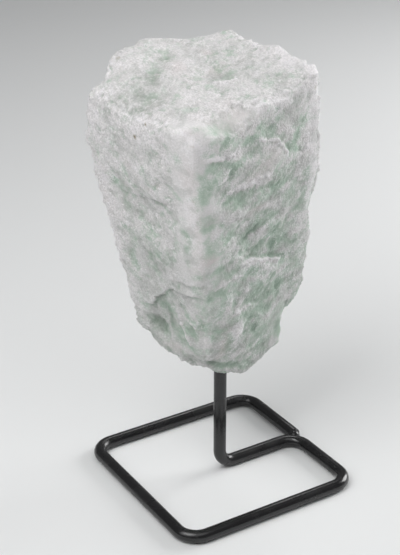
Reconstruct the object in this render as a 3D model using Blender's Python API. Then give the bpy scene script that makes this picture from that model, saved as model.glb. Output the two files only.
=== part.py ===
"""A rough amazonite cleavage block, drilled from below and set on a bent wire stand.

The stand is one length of wire: a stem, an arm along the table and a square base whose free end is
welded to the arm's bend. The stone is lofted between upright corner lines, capped above and below,
and then worked over with cleavage steps, lumps, hollows and a streaky grain.

The stone is modelled in its own frame (a, b, z): a runs along its front right cleavage face, b runs
along its front left cleavage face, and the stem's axis is a = b = 0. Lengths are in metres.
"""

import math

import bmesh
import bpy
import numpy as np
from mathutils import Matrix, Vector, geometry, noise

MM = 0.001

# The wire stand
WIRE_RADIUS = 1.6 * MM
WIRE_SIDES = 12
BASE_HALF_SIDE = 23.8 * MM
BASE_BEND_RADIUS = 5.0 * MM
FOOT_BEND_RADIUS = 4.0 * MM
BEND_STEPS = 7
FREE_END_OFFSET = 0.6 * MM
FREE_END_GAP = 1.0 * MM
WELD_RADIUS = 1.65 * MM
WELD_LIFT = 0.2 * MM
STEM_TOP = 40.3 * MM

# The stone on its stem
STONE_TURN = math.radians(14.1)
DRILL_CLEARANCE = 0.3 * MM
DRILL_SIDES = 16
UNDERSIDE = 28.8 * MM

# The two cleavage faces lean in towards the stone's foot
FACE_HEIGHT = 98.0 * MM
FRONT_RIGHT_FACE = -9.2 * MM
FRONT_RIGHT_LEAN = 0.07
FRONT_LEFT_FACE = -18.9 * MM
FRONT_LEFT_LEAN = 0.155

# The top slopes up towards the back right
TOP_AT_FRONT = 97.0 * MM
TOP_RISE_A = 0.13
TOP_RISE_B = 0.14

# Size of the facets that the rough surface is made of
FACET = 2.1 * MM
RING_COUNT = 32

# The streaks' climb on each cleavage face, from the horizontal
RIGHT_STREAKS = math.radians(16.0)
LEFT_STREAKS = math.radians(45.0)
STREAK_STRETCH = 3.2
STREAK_WIDTH = 4.2 * MM
STREAK_GRAIN = 0.55 * MM
COARSE_WIDTH = 9.0 * MM
COARSE_GRAIN = 0.45 * MM

WHITE_GREEN = (0.62, 0.70, 0.65, 1.0)
BLACK_ENAMEL = (0.012, 0.011, 0.013, 1.0)


def front_right_face(z):
    """b of the front right cleavage face at a height."""
    return FRONT_RIGHT_FACE + FRONT_RIGHT_LEAN * (FACE_HEIGHT - z)


def front_left_face(z):
    """a of the front left cleavage face at a height."""
    return FRONT_LEFT_FACE + FRONT_LEFT_LEAN * (FACE_HEIGHT - z)


# Each corner line lists (z, a, b) in mm from the top down. None stands for a point on the cleavage
# face that the corner belongs to. The last number of each entry is how many facets the side that
# follows it takes.
CORNER_LINES = {
    "front": ([(98, None, None), (28, None, None)], 20),
    "right": (
        [
            (104, 22.0, None),
            (100, 23.4, None),
            (94, 24.1, None),
            (85, 24.7, None),
            (77, 25.8, None),
            (72, 25.1, None),
            (66, 23.7, None),
            (59, 25.2, None),
            (51, 24.7, None),
            (43.6, 23.2, None),
            (40.4, 17.6, None),
            (34, 17.0, None),
            (28, 15.6, None),
        ],
        8,
    ),
    "right shoulder": (
        [(104, 24.6, 7.0), (80, 26.0, 8.0), (44, 21.5, 7.0), (40, 16.8, 6.5), (28, 15.5, 6.0)],
        6,
    ),
    "back right": (
        [(106, 22.8, 18.6), (92, 23.6, 20.4), (70, 21.6, 19.6), (46, 16.0, 15.5), (28, 11.8, 12.2)],
        10,
    ),
    "back": (
        [(106, 5.4, 32.0), (90, 6.2, 32.8), (66, 4.6, 28.4), (44, 3.0, 21.6), (28, 2.4, 15.2)],
        7,
    ),
    "back left": (
        [(103, -8.6, 28.6), (84, -9.4, 30.0), (62, -8.2, 26.4), (44, -6.8, 21.4), (28, -5.0, 14.6)],
        3,
    ),
    "left nook": (
        [(103, -11.8, 24.6), (96, -12.2, 26.6), (84, -12.6, 28.0), (62, -10.4, 24.6), (28, -6.2, 13.6)],
        4,
    ),
    "left": (
        [
            (102, None, 24.2),
            (97, None, 25.8),
            (92, None, 26.6),
            (87, None, 26.6),
            (80, None, 25.8),
            (75, None, 24.8),
            (68, None, 23.4),
            (62, None, 22.1),
            (56, None, 21.2),
            (48, None, 21.2),
            (42, None, 19.6),
            (38.5, None, 19.2),
            (36.2, None, 16.6),
            (28, None, 10.0),
        ],
        16,
    ),
}

# Swells and sinks of the top and of the underside: centre (a, b), half widths, height, in mm
TOP_SWELLS = [
    ((-20.0, 13.0), (4.2, 8.5), -4.0),
    ((10.5, -10.5), (5.5, 4.0), -2.3),
    ((-4.0, 26.0), (6.0, 5.0), 1.0),
    ((1.0, 19.6), (6.5, 2.2), -1.5),
    ((6.0, 9.2), (6.5, 5.0), -1.8),
    ((1.2, 3.4), (5.5, 2.2), 0.6),
    ((10.2, 2.6), (4.0, 2.4), 0.6),
    ((22.0, 9.2), (2.6, 2.0), -1.7),
    ((24.0, 2.0), (3.0, 3.0), 0.4),
    ((9.6, 26.6), (4.6, 3.6), -0.9),
    ((24.0, 18.0), (4.0, 3.4), 0.9),
    ((15.6, 24.0), (4.0, 3.6), -0.6),
    ((-13.5, 23.5), (2.6, 2.4), -0.8),
]
UNDERSIDE_SWELLS = [
    ((-9.5, 0.0), (4.6, 60.0), 5.9),
    ((-7.6, -4.0), (1.2, 4.0), 1.5),
    ((-9.0, 19.0), (9.0, 6.0), 5.0),
    ((15.8, -2.0), (4.4, 7.0), 3.0),
    ((8.0, 14.0), (8.0, 4.5), 3.2),
]

# Lumps and hollows of the sides: centre (a, b, z), half widths, height along the surface's normal
LUMPS = [
    ((-1.0, -5.5, 44.0), (2.8, 3.0, 3.4), 1.1),
    ((4.0, -5.0, 36.0), (4.5, 4.0, 4.0), 0.7),
    ((-6.6, -5.0, 35.0), (1.5, 3.0, 9.0), -1.7),
    ((10.0, -6.7, 63.0), (6.0, 3.0, 2.8), -0.8),
    ((-2.6, -7.9, 79.0), (4.6, 3.0, 2.6), -0.5),
    ((8.5, -8.3, 86.0), (5.5, 3.0, 4.4), 0.5),
    ((16.0, -7.0, 66.0), (4.0, 3.0, 5.0), -0.4),
    ((20.5, -8.5, 88.0), (2.4, 3.0, 6.0), -0.5),
    ((3.0, -6.2, 51.0), (4.4, 3.0, 3.0), -0.5),
    ((-10.4, 10.2, 42.8), (3.0, 2.8, 1.8), -1.2),
    ((-11.4, 3.0, 48.5), (3.0, 4.6, 4.0), -0.9),
    ((-15.5, 13.0, 72.0), (3.0, 6.0, 4.4), -0.6),
    ((-16.4, 4.0, 84.0), (3.0, 7.0, 5.0), 0.4),
    ((-9.6, 17.0, 40.0), (3.0, 2.2, 1.8), 0.6),
    ((-9.2, 9.4, 37.0), (3.0, 2.0, 1.6), 0.5),
    ((14.0, 26.0, 84.0), (8.0, 6.0, 9.0), -1.4),
    ((-2.0, 28.0, 62.0), (6.0, 5.0, 6.0), 1.0),
    ((24.0, 6.0, 64.0), (5.0, 5.0, 5.0), -0.8),
    ((12.0, 18.0, 50.0), (6.0, 6.0, 6.0), 0.9),
]

# Cleavage steps: the face that carries them, their two ends across the face and up, how far the lower
# side stands proud of the upper one, and how soon the step fades out above and below, in mm
STEPS = [
    ("right", (0.0, 60.6), (15.0, 56.0), 1.6, 4.5),
    ("right", (-8.0, 66.0), (6.0, 70.5), 0.6, 4.0),
    ("right", (4.0, 78.0), (20.0, 82.5), 0.7, 4.0),
    ("right", (-12.0, 84.5), (2.0, 88.5), 0.5, 3.0),
    ("right", (2.0, 47.5), (16.0, 51.0), 0.6, 3.5),
    ("left", (12.6, 46.6), (7.4, 52.8), -1.0, 4.0),
    ("left", (7.4, 53.2), (-1.0, 53.8), -1.2, 4.0),
    ("left", (5.2, 57.0), (-4.0, 58.2), -0.6, 2.5),
    ("left", (12.0, 76.9), (1.6, 78.6), -0.6, 3.5),
    ("left", (20.0, 64.0), (9.0, 57.0), 0.5, 3.5),
    ("back", (-6.0, 78.0), (16.0, 70.0), 1.2, 5.0),
    ("back", (2.0, 52.0), (20.0, 58.0), 1.0, 5.0),
    ("end", (-4.0, 84.0), (16.0, 90.0), 0.9, 4.5),
    ("end", (0.0, 52.0), (14.0, 56.0), 0.8, 4.0),
]


def clear_scene():
    """Remove whatever the scene holds."""
    for old in list(bpy.data.objects):
        bpy.data.objects.remove(old, do_unlink=True)


def new_collection(name, shown=True):
    """A collection of the scene, hidden in renders when it holds cutters."""
    collection = bpy.data.collections.new(name)
    collection.hide_render = not shown
    bpy.context.scene.collection.children.link(collection)
    return collection


def new_material(name, colour, roughness, metallic=0.0):
    """A plain Principled material."""
    material = bpy.data.materials.new(name)
    material.use_nodes = True
    shader = material.node_tree.nodes["Principled BSDF"]
    shader.inputs["Base Color"].default_value = colour
    shader.inputs["Roughness"].default_value = roughness
    shader.inputs["Metallic"].default_value = metallic
    material.diffuse_color = colour
    return material


def mesh_object(bm, name, collection, material=None):
    """Turn a bmesh into an object of the collection."""
    mesh = bpy.data.meshes.new(name)
    bm.to_mesh(mesh)
    bm.free()
    if material:
        mesh.materials.append(material)
    obj = bpy.data.objects.new(name, mesh)
    collection.objects.link(obj)
    return obj


def as_cutter(obj):
    """Show a helper as a wire cage only."""
    obj.hide_render = True
    obj.display_type = "WIRE"


def add_boolean(obj, other, operation):
    """Join or cut an object with another, exactly."""
    modifier = obj.modifiers.new(f"{operation} {other.name}", "BOOLEAN")
    modifier.operation = operation
    modifier.object = other
    modifier.solver = "EXACT"


def wire_centre_height():
    """Height of the base wire's centre, so that one flat of the wire lies on the table."""
    return WIRE_RADIUS * math.cos(math.pi / WIRE_SIDES)


def bent_path(corners):
    """Points along straight runs joined by round bends; corners are (point, bend radius)."""
    path = [corners[0][0]]
    for before, (corner, radius), after in zip(corners, corners[1:], corners[2:]):
        to_start = (before[0] - corner).normalized()
        to_end = (after[0] - corner).normalized()
        half_angle = to_start.angle(to_end) / 2
        inward = (to_start + to_end).normalized()
        centre = corner + inward * (radius / math.sin(half_angle))
        first = corner + to_start * (radius / math.tan(half_angle)) - centre
        axis = to_end.cross(to_start).normalized()
        sweep = math.pi - 2 * half_angle
        for step in range(BEND_STEPS + 1):
            turn = Matrix.Rotation(sweep * step / BEND_STEPS, 3, axis)
            path.append(centre + turn @ first)
    path.append(corners[-1][0])
    return path


def stand_path():
    """The wire's centreline, from the stem's top to the free end beside the arm."""
    side = BASE_HALF_SIDE
    outer = side + FREE_END_OFFSET
    z = wire_centre_height()
    return bent_path(
        [
            (Vector((0, 0, STEM_TOP)), 0),
            (Vector((0, 0, z)), FOOT_BEND_RADIUS),
            (Vector((side, 0, z)), BASE_BEND_RADIUS),
            (Vector((side, -side, z)), BASE_BEND_RADIUS),
            (Vector((-side, -side, z)), BASE_BEND_RADIUS),
            (Vector((-side, side, z)), BASE_BEND_RADIUS),
            (Vector((outer, side, z)), BASE_BEND_RADIUS),
            (Vector((outer, FREE_END_GAP, z)), 0),
        ]
    )


def make_wire_stand(collection, cutters):
    """The stand: a bevelled curve made a mesh, with its weld joined on."""
    curve = bpy.data.curves.new("wire_stand", "CURVE")
    curve.dimensions = "3D"
    curve.bevel_depth = WIRE_RADIUS
    curve.bevel_resolution = (WIRE_SIDES - 4) // 2
    curve.use_fill_caps = True
    curve.twist_mode = "MINIMUM"
    points = stand_path()
    spline = curve.splines.new("POLY")
    spline.points.add(len(points) - 1)
    for point, place in zip(spline.points, points):
        point.co = (*place, 1)
        point.tilt = math.pi / WIRE_SIDES
    guide = bpy.data.objects.new("wire_guide", curve)
    collection.objects.link(guide)
    bpy.context.view_layer.update()
    mesh = bpy.data.meshes.new_from_object(guide.evaluated_get(bpy.context.evaluated_depsgraph_get()))
    bm = bmesh.new()
    bm.from_mesh(mesh)
    bmesh.ops.remove_doubles(bm, verts=bm.verts, dist=0.01 * MM)
    bmesh.ops.recalc_face_normals(bm, faces=bm.faces)
    stand = mesh_object(bm, "wire_stand", collection, new_material("black enamel", BLACK_ENAMEL, 0.28))
    stand.matrix_world = guide.matrix_world
    bpy.data.objects.remove(guide)
    stand.data.shade_smooth()
    stand.data.set_sharp_from_angle(angle=math.radians(50))

    weld = bmesh.new()
    bmesh.ops.create_uvsphere(weld, u_segments=12, v_segments=8, radius=WELD_RADIUS)
    bead = mesh_object(weld, "weld_bead", cutters)
    bead.location = (
        BASE_HALF_SIDE - 0.2 * MM,
        FREE_END_GAP - 0.4 * MM,
        wire_centre_height() + WELD_LIFT,
    )
    as_cutter(bead)
    add_boolean(stand, bead, "UNION")
    return stand


def corner_at(name, z):
    """(a, b) of one corner line at a height."""
    line = CORNER_LINES[name][0]
    heights = [point[0] * MM for point in reversed(line)]
    a_face = front_left_face(z)
    b_face = front_right_face(z)
    if line[0][1] is None:
        a = a_face
    else:
        a = float(np.interp(z, heights, [point[1] * MM for point in reversed(line)]))
    if line[0][2] is None:
        b = b_face
    else:
        b = float(np.interp(z, heights, [point[2] * MM for point in reversed(line)]))
    return a, b


def swells(a, b, table):
    """Sum of the rounded swells of a table at (a, b)."""
    total = 0.0
    for (centre_a, centre_b), (width_a, width_b), height in table:
        reach_a = (a - centre_a * MM) / (width_a * MM)
        reach_b = (b - centre_b * MM) / (width_b * MM)
        total += height * MM * math.exp(-(reach_a**2) - reach_b**2)
    return total


def top_at(a, b):
    """Height of the top surface."""
    rise = TOP_RISE_A * (a - FRONT_LEFT_FACE) + TOP_RISE_B * (b - FRONT_RIGHT_FACE)
    return TOP_AT_FRONT + rise + swells(a, b, TOP_SWELLS)


def underside_at(a, b):
    """Height of the underside."""
    return UNDERSIDE + swells(a, b, UNDERSIDE_SWELLS)


def ring_points(fraction):
    """One closed ring of points round the stone, from the underside (0) to the top (1)."""
    names = list(CORNER_LINES)
    points = []
    for name, following in zip(names, names[1:] + names[:1]):
        facets = CORNER_LINES[name][1]
        for step in range(facets):
            share = step / facets
            z = UNDERSIDE + fraction * (TOP_AT_FRONT - UNDERSIDE)
            for _ in range(4):
                a0, b0 = corner_at(name, z)
                a1, b1 = corner_at(following, z)
                a = a0 + (a1 - a0) * share
                b = b0 + (b1 - b0) * share
                low = underside_at(a, b)
                z = low + fraction * (top_at(a, b) - low)
            points.append(Vector((a, b, z)))
    return points


def cap_grid(outline):
    """Evenly spread points over the box of an outline, clear of the outline itself."""
    low = Vector([min(point[i] for point in outline) for i in range(2)])
    high = Vector([max(point[i] for point in outline) for i in range(2)])
    row_height = FACET * math.sqrt(3) / 2
    points = []
    for row in range(1, int((high.y - low.y) / row_height) + 1):
        shift = FACET / 2 * (row % 2)
        for column in range(int((high.x - low.x) / FACET) + 1):
            point = Vector((low.x + shift + column * FACET, low.y + row * row_height))
            if min((point - rim).length for rim in outline) > 0.75 * FACET:
                points.append(point)
    return points


def fill_cap(bm, ring, surface):
    """Close a ring with facets of even size that lie on a surface."""
    outline = [vert.co.xy for vert in ring]
    rim = [(i, (i + 1) % len(ring)) for i in range(len(ring))]
    points = outline + cap_grid(outline)
    inside_only = 1
    flat, _, triangles, sources, _, _ = geometry.delaunay_2d_cdt(
        points, rim, [], inside_only, 0.001 * MM
    )
    corners = []
    for place, source in zip(flat, sources):
        on_rim = [index for index in source if index < len(ring)]
        if on_rim:
            corners.append(ring[on_rim[0]])
        else:
            corners.append(bm.verts.new((place.x, place.y, surface(place.x, place.y))))
    for triangle in triangles:
        bm.faces.new([corners[index] for index in triangle])
    bmesh.ops.delete(bm, geom=[vert for vert in bm.verts if not vert.link_faces], context="VERTS")


def streaks(point, normal):
    """Streaky grain: ridges drawn out along each cleavage face, and a plain roughness elsewhere."""
    climb = RIGHT_STREAKS if abs(normal.y) > abs(normal.x) else LEFT_STREAKS
    across = point.x if abs(normal.y) > abs(normal.x) else point.y
    along = across * math.cos(climb) + point.z * math.sin(climb)
    over = point.z * math.cos(climb) - across * math.sin(climb)
    deep = point.dot(normal)
    upright = 1.0 - abs(normal.z)
    stretch = 1.0 + (STREAK_STRETCH - 1.0) * upright
    place = Vector((along / stretch, over, deep)) / STREAK_WIDTH
    coarse = noise.noise(point / COARSE_WIDTH)
    fine = noise.noise(place)
    return (COARSE_GRAIN * coarse + STREAK_GRAIN * fine)


def step_relief(point, normal):
    """What the cleavage steps add along the normal at a point of the sides."""
    total = 0.0
    for face, start, end, height, fade in STEPS:
        across = point.x if face in ("right", "back") else point.y
        facing = {"right": -normal.y, "left": -normal.x, "back": normal.y, "end": normal.x}[face]
        if facing < 0.5:
            continue
        run = Vector((end[0] - start[0], end[1] - start[1])) * MM
        offset = Vector((across - start[0] * MM, point.z - start[1] * MM))
        share = offset.dot(run) / run.length_squared
        below = (offset.x * run.y - offset.y * run.x) / run.length * math.copysign(1, run.x)
        ends = max(0.0, min(1.0, 4 * share + 0.4, 4 * (1 - share) + 0.4))
        side = 1.0 if below > 0 else -1.0
        total += side * 0.5 * height * MM * ends * math.exp(-abs(below) / (fade * MM))
    return total


def lump_relief(point):
    """What the lumps and hollows add along the normal at a point."""
    total = 0.0
    for centre, widths, height in LUMPS:
        reach = sum(((point[i] - centre[i] * MM) / (widths[i] * MM)) ** 2 for i in range(3))
        total += height * MM * math.exp(-reach)
    return total


def make_stone(collection, cutters):
    """The stone: rings lofted, capped, given its relief, and drilled for the stem."""
    bm = bmesh.new()
    rings = []
    for index in range(RING_COUNT + 1):
        rings.append([bm.verts.new(point) for point in ring_points(index / RING_COUNT)])
    count = len(rings[0])
    for lower, upper in zip(rings, rings[1:]):
        for i in range(count):
            bm.faces.new((lower[i - 1], lower[i], upper[i], upper[i - 1]))
    fill_cap(bm, rings[0], underside_at)
    fill_cap(bm, rings[-1], top_at)
    bmesh.ops.recalc_face_normals(bm, faces=bm.faces)
    bm.normal_update()
    relief = [
        (v, v.normal * (streaks(v.co, v.normal) + step_relief(v.co, v.normal) + lump_relief(v.co)))
        for v in bm.verts
    ]
    for vert, move in relief:
        vert.co += move
    bmesh.ops.triangulate(bm, faces=bm.faces)
    stone = mesh_object(bm, "stone", collection, new_material("rough amazonite", WHITE_GREEN, 0.55))
    stone.rotation_euler.z = STONE_TURN

    drill = bmesh.new()
    radius = WIRE_RADIUS + DRILL_CLEARANCE
    depth = STEM_TOP + DRILL_CLEARANCE - UNDERSIDE / 2
    bmesh.ops.create_cone(
        drill, cap_ends=True, segments=DRILL_SIDES, radius1=radius, radius2=radius, depth=depth
    )
    hole = mesh_object(drill, "stem_hole", cutters)
    hole.location.z = UNDERSIDE / 2 + depth / 2
    as_cutter(hole)
    add_boolean(stone, hole, "DIFFERENCE")
    return stone


def centre_over_origin(pieces, helpers):
    """Move everything so that the origin is under the middle of the whole object's box."""
    bpy.context.view_layer.update()
    graph = bpy.context.evaluated_depsgraph_get()
    corners = []
    for piece in pieces:
        shaped = piece.evaluated_get(graph)
        corners += [shaped.matrix_world @ vert.co for vert in shaped.data.vertices]
    low = Vector([min(corner[i] for corner in corners) for i in range(3)])
    high = Vector([max(corner[i] for corner in corners) for i in range(3)])
    shift = Vector((-(low.x + high.x) / 2, -(low.y + high.y) / 2, 0))
    for item in pieces + helpers:
        item.location += shift


def main():
    clear_scene()
    parts = new_collection("rough_amazonite")
    cutters = new_collection("cutters", shown=False)
    stand = make_wire_stand(parts, cutters)
    stone = make_stone(parts, cutters)
    centre_over_origin([stand, stone], list(cutters.objects))


main()
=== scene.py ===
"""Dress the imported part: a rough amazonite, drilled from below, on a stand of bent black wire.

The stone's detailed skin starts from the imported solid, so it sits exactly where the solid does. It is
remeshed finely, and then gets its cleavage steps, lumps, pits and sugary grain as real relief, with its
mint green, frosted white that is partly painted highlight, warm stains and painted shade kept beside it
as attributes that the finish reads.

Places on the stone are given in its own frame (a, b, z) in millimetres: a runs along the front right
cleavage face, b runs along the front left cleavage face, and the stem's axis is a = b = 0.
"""

import logging
import math
from collections.abc import Iterable, Iterator
from dataclasses import dataclass, field
from enum import Enum
from functools import cached_property

import bmesh
import bpy
import numpy as np
from mathutils import Matrix, Vector, noise


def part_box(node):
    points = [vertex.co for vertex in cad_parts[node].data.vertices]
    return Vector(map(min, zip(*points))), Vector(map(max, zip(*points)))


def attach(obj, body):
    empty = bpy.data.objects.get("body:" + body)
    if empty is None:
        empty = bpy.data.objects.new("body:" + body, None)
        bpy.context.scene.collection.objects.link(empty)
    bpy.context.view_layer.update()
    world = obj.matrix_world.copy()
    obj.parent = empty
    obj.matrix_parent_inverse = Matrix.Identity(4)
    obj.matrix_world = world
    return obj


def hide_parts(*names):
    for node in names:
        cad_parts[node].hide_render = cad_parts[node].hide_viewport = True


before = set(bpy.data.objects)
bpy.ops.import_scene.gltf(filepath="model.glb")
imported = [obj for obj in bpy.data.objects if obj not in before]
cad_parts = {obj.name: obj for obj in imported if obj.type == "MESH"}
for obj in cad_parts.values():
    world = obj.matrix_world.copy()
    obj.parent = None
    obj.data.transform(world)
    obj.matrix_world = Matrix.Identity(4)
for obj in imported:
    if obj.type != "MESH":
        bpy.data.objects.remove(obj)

log = logging.getLogger("rough_amazonite")

MM = 0.001
STEM_AXIS = (-0.7696, -3.9158)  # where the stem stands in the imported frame, in mm


def linear(hex_colour: str) -> tuple[float, float, float, float]:
    """Turn an sRGB hex colour into linear RGBA.

    Args:
        hex_colour: six hex digits, with or without a leading #.

    Returns:
        Red, green, blue and alpha, from 0 to 1.
    """
    digits = hex_colour.lstrip("#")
    channels = [int(digits[i : i + 2], 16) / 255 for i in (0, 2, 4)]
    straight = [c / 12.92 if c <= 0.04045 else ((c + 0.055) / 1.055) ** 2.4 for c in channels]
    return (*straight, 1.0)


def add_node(tree: bpy.types.NodeTree, kind: str, inputs: dict | None = None, **settings) -> bpy.types.Node:
    """Add a shader node, set it up and link it.

    Args:
        tree: the material's node tree.
        kind: the node's type without its ShaderNode prefix.
        inputs: for each input, by name or number, a constant or the socket that feeds it.
        settings: properties of the node itself.

    Returns:
        The new node.
    """
    node = tree.nodes.new(f"ShaderNode{kind}")
    for name, value in settings.items():
        setattr(node, name, value)
    for key, value in (inputs or {}).items():
        if isinstance(value, bpy.types.NodeSocket):
            tree.links.new(value, node.inputs[key])
        else:
            node.inputs[key].default_value = value
    return node


def new_material(name: str) -> tuple[bpy.types.Material, bpy.types.NodeTree, bpy.types.Node]:
    """Make a node material.

    Args:
        name: what the real material is called.

    Returns:
        The material, its node tree and its Principled shader.
    """
    material = bpy.data.materials.new(name)
    material.use_nodes = True
    return material, material.node_tree, material.node_tree.nodes["Principled BSDF"]


def add_object(name: str, data: bpy.types.ID) -> bpy.types.Object:
    """Add an object to the scene.

    Args:
        name: its name.
        data: the mesh, the light or the camera that it shows.

    Returns:
        The new object.
    """
    item = bpy.data.objects.new(name, data)
    bpy.context.scene.collection.objects.link(item)
    return item


def add_piece(name: str, bm: bmesh.types.BMesh) -> bpy.types.Object:
    """Add a finished bmesh to the scene, and free it.

    Args:
        name: the name of the object and of its mesh.
        bm: its shape.

    Returns:
        The new object.
    """
    mesh = bpy.data.meshes.new(name)
    bm.to_mesh(mesh)
    bm.free()
    return add_object(name, mesh)


def sample(points: np.ndarray, octaves: int = 1) -> np.ndarray:
    """Perlin noise at each row of an array of points.

    Args:
        points: the points, one a row.
        octaves: how many times finer noise is added, each half as wide and 0.7 times as strong.

    Returns:
        One value a point, about -1 to 1.
    """
    if octaves == 1:
        values = map(noise.noise, points.tolist())
    else:
        values = (noise.fractal(point, 0.5, 2.0, octaves) for point in points.tolist())
    return np.fromiter(values, float, len(points))


def soft_step(values: np.ndarray, low: float, high: float) -> np.ndarray:
    """Rise smoothly from 0 at low to 1 at high."""
    share = np.clip((values - low) / (high - low), 0.0, 1.0)
    return share * share * (3.0 - 2.0 * share)


@dataclass(frozen=True)
class Nature:
    """How one side of the stone lies and what it is like.

    The directions are in the stone's frame. Streaks climb at an angle in degrees; the rest are about 0
    to 1: how drawn out the streaks are, how strong its shards and its grain are, how green it is, and
    how uneven its green and its painted shade are.
    """

    outward: tuple[int, int, int]
    across: tuple[int, int, int]
    up: tuple[int, int, int]
    climb: float
    drawn: float
    shards: float
    grain: float
    green: float
    uneven: float


class Side(Enum):
    """The sides of the stone."""

    FRONT_RIGHT = Nature((0, -1, 0), (1, 0, 0), (0, 0, 1), 16.0, 0.95, 1.0, 0.42, 0.48, 1.05)
    FRONT_LEFT = Nature((-1, 0, 0), (0, 1, 0), (0, 0, 1), 34.0, 0.4, 0.5, 1.0, 0.10, 1.0)
    BACK = Nature((0, 1, 0), (1, 0, 0), (0, 0, 1), -20.0, 0.8, 0.9, 0.8, 0.36, 0.9)
    END = Nature((1, 0, 0), (0, 1, 0), (0, 0, 1), 34.0, 0.8, 0.9, 0.8, 0.36, 0.9)
    TOP = Nature((0, 0, 1), (1, 0, 0), (0, 1, 0), 24.0, 0.3, 0.55, 1.2, 0.08, 0.9)
    UNDERSIDE = Nature((0, 0, -1), (1, 0, 0), (0, 1, 0), 60.0, 0.3, 0.5, 0.8, 0.3, 0.6)

    @property
    def outward(self) -> np.ndarray:
        """Direction that the side faces."""
        return np.array(self.value.outward, float)

    @property
    def plane(self) -> np.ndarray:
        """The across and up directions, one a row."""
        return np.array((self.value.across, self.value.up), float)

    @property
    def streak_frame(self) -> np.ndarray:
        """Directions along the streaks, over them and outward, one a row."""
        climb = math.radians(self.value.climb)
        across, up = self.plane
        along = across * math.cos(climb) + up * math.sin(climb)
        over = up * math.cos(climb) - across * math.sin(climb)
        return np.stack([along, over, self.outward])


@dataclass(frozen=True)
class Patch:
    """A soft-edged oval on one side of the stone, as relief, as colour, or as both.

    Sizes are in mm. The oval's centre is given across and up the side, its spread along and over its
    own long direction, and turn is that direction's climb in degrees. Height is in mm. The rest are
    about 0 to 1: how green, white, warm and smooth its middle gets, how much painted shade it gets,
    and how stained it gets. Below 0 they take green or white away, or give painted light, not shade.
    """

    centre: tuple[float, float]
    spread: tuple[float, float]
    turn: float = 0.0
    height: float = 0.0
    green: float = 0.0
    white: float = 0.0
    warm: float = 0.0
    calm: float = 0.0
    painted_shade_or_light: float = 0.0
    stain: float = 0.0

    @property
    def frost(self) -> float:
        """The white that it adds, less what its green takes away."""
        return self.white - 0.25 * max(self.green, 0.0)


@dataclass(frozen=True)
class Ledge:
    """A cleavage step along a line across one side; its left-hand ground stands proud by drop.

    Sizes are in mm. The line's points are given across and up the side. The step itself is about twice
    soft wide and fades out over fade on both hands, lip is the height of the broken ridge along it, and
    green is how green its foot gets.
    """

    line: tuple[tuple[float, float], ...]
    drop: float
    fade: float
    lip: float = 0.0
    green: float = 0.0
    soft: float = 0.22


@dataclass(frozen=True)
class Marks:
    """The ledges and patches of one side, listed one by one."""

    side: Side
    ledges: tuple[Ledge, ...]
    patches: tuple[Patch, ...]


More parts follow.
